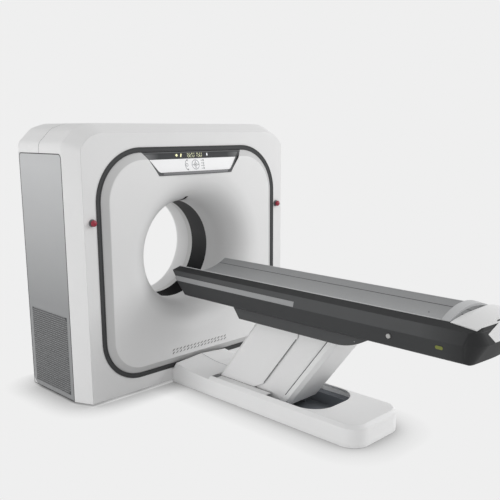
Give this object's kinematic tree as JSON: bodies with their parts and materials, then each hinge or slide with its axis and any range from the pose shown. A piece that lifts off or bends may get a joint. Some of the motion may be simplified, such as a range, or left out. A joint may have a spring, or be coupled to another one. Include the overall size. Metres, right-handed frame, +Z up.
{
  "type": "ct scanner",
  "caption": "Computed-tomography scanner: a ring-shaped gantry with a turning rotor inside its covers, and a patient table whose sliding cradle rides on a parallelogram lift.",
  "frame": {"origin": "on the floor, straight below the isocentre where the bore axis crosses the scan plane, at the centre of the gantry anchor pattern", "axes": "+X right seen from the table, +Y along the bore from the table into the gantry, +Z up"},
  "size_m": [1.858, 2.9598, 1.757],
  "materials": {
    "housing_white": "smooth satin lacquer",
    "cover_white": "smooth satin lacquer",
    "panel_grey": "fine satin powder coat",
    "grille_grey": "perforated, satin",
    "trim_dark": "satin",
    "window_black": "glossy black film",
    "liner_light": "satin",
    "laser_glass": "dark glossy window",
    "console_dark": "satin",
    "display_glass": "glossy display glass",
    "key_white": "printed membrane",
    "stop_red": "glossy red",
    "collar_grey": "satin",
    "frame_paint": "powder coat",
    "bearing_steel": "ground steel",
    "cast_aluminium": "machined casting",
    "slip_brass": "polished tracks",
    "unit_grey": "satin paint",
    "lead_grey": "satin paint",
    "cooler_aluminium": "finned",
    "weight_steel": "rough",
    "motor_paint": "satin paint",
    "belt_rubber": "ribbed rubber",
    "fan_plastic": "moulded",
    "base_white": "smooth satin lacquer",
    "column_white": "satin powder coat",
    "arm_paint": "powder coat",
    "pin_steel": "polished",
    "body_dark": "satin moulding",
    "belly_dark": "satin moulding",
    "stripe_light": "satin strip",
    "tail_white": "smooth lacquer",
    "pad_white": "low-friction plastic",
    "cradle_grey": "fine-grained laminate",
    "handle_light": "satin moulding",
    "button_light": "satin"
  },
  "bodies": {
    "machine_base": {"gantry_base_frame": "frame_paint", "levelling_feet": "bearing_steel", "stator_frame": "frame_paint", "bearing_outer_ring": "bearing_steel", "front_housing_shell": "housing_white", "rear_housing_shell": "housing_white", "side_panel_left": "panel_grey", "side_panel_right": "panel_grey", "side_grilles": "grille_grey", "trim_ring": "trim_dark", "front_cover": "cover_white", "rear_cover": "cover_white", "scan_window": "window_black", "rear_bore_liner": "liner_light", "laser_window": "laser_glass", "console_housing": "console_dark", "display_panel": "display_glass", "key_panel": "key_white", "stop_collars": "collar_grey", "power_cabinet": "unit_grey", "fan_frame": "fan_plastic", "drive_motor": "motor_paint", "drive_belt": "belt_rubber", "brush_block": "unit_grey", "table_base_frame": "frame_paint", "table_base_cover": "base_white", "lower_pivot_pins": "pin_steel", "lift_ram": "motor_paint"},
    "stop_button_left_body": {"stop_button_left": "stop_red"},
    "stop_button_right_body": {"stop_button_right": "stop_red"},
    "fan_rotor_body": {"fan_rotor": "fan_plastic"},
    "motor_pulley_body": {"motor_pulley": "bearing_steel"},
    "rotor": {"rotor_drum": "cast_aluminium", "bearing_inner_ring": "bearing_steel", "slip_ring": "slip_brass", "xray_tube": "lead_grey", "collimator": "lead_grey", "detector_arc": "unit_grey", "high_voltage_unit": "unit_grey", "heat_exchanger": "cooler_aluminium", "counterweights": "weight_steel"},
    "lift_yoke_body": {"lift_yoke": "pin_steel"},
    "front_arm": {"front_lift_arm": "arm_paint", "front_column_cover": "column_white"},
    "rear_arm": {"rear_lift_arm": "arm_paint", "rear_column_cover": "column_white", "inner_column_cover": "column_white"},
    "table_top": {"upper_frame": "arm_paint", "upper_pivot_pins": "pin_steel", "table_body_shell": "body_dark", "belly_cover": "belly_dark", "accent_stripes": "stripe_light", "tail_cover": "tail_white", "nose_slide_pads": "pad_white", "cradle_motor": "motor_paint"},
    "lead_screw_body": {"cradle_lead_screw": "pin_steel"},
    "cradle": {"cradle_top": "cradle_grey", "cradle_carriage": "arm_paint", "cradle_handle": "handle_light"},
    "release_button_body": {"release_button": "button_light"}
  },
  "joints": [
    {"name": "rotor_spin", "type": "hinge", "parent": "machine_base", "child": "rotor", "pos_m": [0, 0.105, 0.88], "axis": [0, 1, 0], "continuous": true},
    {"name": "motor_pulley_spin", "type": "hinge", "parent": "machine_base", "child": "motor_pulley_body", "pos_m": [0.56278, 0.105, 0.21], "axis": [0, 1, 0], "continuous": true},
    {"name": "fan_spin", "type": "hinge", "parent": "machine_base", "child": "fan_rotor_body", "pos_m": [0.77, 0, 0.32], "axis": [1, 0, 0], "continuous": true},
    {"name": "stop_press_left", "type": "slide", "parent": "machine_base", "child": "stop_button_left_body", "axis": [0, 1, 0], "range_m": [0, 0.004], "stiffness_N_per_m": 4000},
    {"name": "stop_press_right", "type": "slide", "parent": "machine_base", "child": "stop_button_right_body", "axis": [0, 1, 0], "range_m": [0, 0.004], "stiffness_N_per_m": 4000},
    {"name": "lift", "type": "hinge", "parent": "machine_base", "child": "front_arm", "pos_m": [0, -0.836, 0.1], "axis": [-1, 0, 0], "range_deg": [-28, 18]},
    {"name": "rear_arm_swing", "type": "hinge", "parent": "machine_base", "child": "rear_arm", "pos_m": [0, -1.211, 0.1], "axis": [-1, 0, 0], "range_deg": [-29, 19]},
    {"name": "top_level", "type": "hinge", "parent": "front_arm", "child": "table_top", "pos_m": [0, -1.26946, 0.6548], "axis": [-1, 0, 0], "range_deg": [-19, 29]},
    {"name": "ram_slide", "type": "slide", "parent": "machine_base", "child": "lift_yoke_body", "axis": [0, 1, 0], "range_m": [-0.0225, 0.0345]},
    {"name": "cradle_slide", "type": "slide", "parent": "table_top", "child": "cradle", "axis": [0, 1, 0], "range_m": [0, 1.5]},
    {"name": "screw_spin", "type": "hinge", "parent": "table_top", "child": "lead_screw_body", "pos_m": [0, -1.5, 0.74], "axis": [0, 1, 0], "continuous": true},
    {"name": "release_press", "type": "slide", "parent": "table_top", "child": "release_button_body", "axis": [1, 0, 0], "range_m": [0, 0.004], "stiffness_N_per_m": 1500}
  ],
  "couplings": [
    {"joint": "motor_pulley_spin", "follows": "rotor_spin", "ratio": 12.367},
    {"joint": "rear_arm_swing", "follows": "lift", "ratio": 1},
    {"joint": "top_level", "follows": "lift", "ratio": -1},
    {"joint": "ram_slide", "follows": "lift", "m_per_rad": -0.0681},
    {"joint": "screw_spin", "follows": "cradle_slide", "rad_per_m": 125.66}
  ]
}
